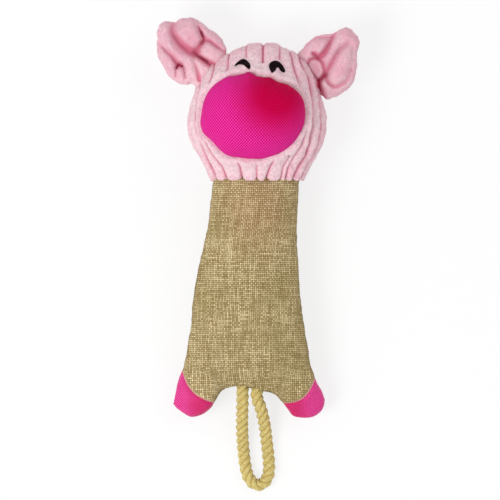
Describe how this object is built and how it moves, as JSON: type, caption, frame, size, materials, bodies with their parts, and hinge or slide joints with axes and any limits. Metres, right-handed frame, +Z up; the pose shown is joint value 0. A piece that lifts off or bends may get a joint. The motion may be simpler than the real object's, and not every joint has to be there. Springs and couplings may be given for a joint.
{
  "type": "squeaky dog toy",
  "caption": "Soft stuffed dog toy in the shape of a pig lying on its back: ribbed plush head and ears, domed nylon snout over a squeaker, linen body with nylon feet, and a rope loop for a tail.",
  "frame": {"origin": "on the surface the toy lies on, under the middle of the toy without its rope loop", "axes": "+Z up out of the face, +Y towards the top of the head, +X towards the toy's left ear"},
  "size_m": [0.1636, 0.381, 0.1017],
  "materials": {
    "plush": "soft ribbed plush, matt",
    "snout_nylon": "basket-weave nylon, satin",
    "foot_nylon": "fine-ribbed nylon, satin",
    "linen": "heathered linen weave, matt",
    "stuffing": "loose fibre, matt",
    "embroidery": "satin stitch",
    "cotton_rope": "laid cotton rope, matt",
    "thread": "twisted thread, matt",
    "squeaker_plastic": "soft moulded plastic",
    "reed_plastic": "thin sheet plastic"
  },
  "bodies": {
    "torso": {"head_front_panel": "plush", "head_back_panel": "plush", "head_stuffing": "stuffing", "head_seam_thread": "thread", "squeaker_bulb": "squeaker_plastic", "squeaker_reed_housing": "squeaker_plastic", "squeaker_reed_clip": "squeaker_plastic", "body_front_panel": "linen", "body_back_panel": "linen", "body_stuffing": "stuffing", "foot_left_front_panel": "foot_nylon", "foot_left_back_panel": "foot_nylon", "foot_left_stuffing": "stuffing", "foot_right_front_panel": "foot_nylon", "foot_right_back_panel": "foot_nylon", "foot_right_stuffing": "stuffing", "rope_tail_left": "cotton_rope", "rope_tail_right": "cotton_rope", "rope_tack_thread": "thread", "eye_left": "embroidery", "eye_right": "embroidery"},
    "snout": {"snout_dome": "snout_nylon", "snout_stuffing": "stuffing", "snout_seam_thread": "thread"},
    "reed": {"squeaker_reed": "reed_plastic"},
    "ear_left": {"ear_left_front_panel": "plush", "ear_left_back_panel": "plush", "ear_left_tack_thread": "thread"},
    "ear_right": {"ear_right_front_panel": "plush", "ear_right_back_panel": "plush", "ear_right_tack_thread": "thread"},
    "rope_loop": {"rope_loop": "cotton_rope"}
  },
  "joints": [
    {"name": "ear_left_flop", "type": "hinge", "parent": "torso", "child": "ear_left", "pos_m": [-0.04487, 0.12552, 0.042], "axis": [0.6492, 0.7606, 0], "range_deg": [-40, 60], "stiffness_Nm_per_rad": 0.05},
    {"name": "ear_right_flop", "type": "hinge", "parent": "torso", "child": "ear_right", "pos_m": [0.04777, 0.11953, 0.042], "axis": [0.5494, -0.8355, 0], "range_deg": [-40, 60], "stiffness_Nm_per_rad": 0.05},
    {"name": "rope_loop_swing", "type": "hinge", "parent": "torso", "child": "rope_loop", "pos_m": [-0.00705, -0.1469, 0.02078], "axis": [-1, 0, 0], "range_deg": [-80, 90]},
    {"name": "snout_press", "type": "slide", "parent": "torso", "child": "snout", "axis": [0, 0, -1], "range_m": [0, 0.009], "stiffness_N_per_m": 1200, "deforming": ["squeaker_bulb"]},
    {"name": "reed_flutter", "type": "hinge", "parent": "torso", "child": "reed", "pos_m": [-0.0091, 0.082, 0.0301], "axis": [0, -1, 0], "range_deg": [0, 8], "stiffness_Nm_per_rad": 0.0005}
  ]
}
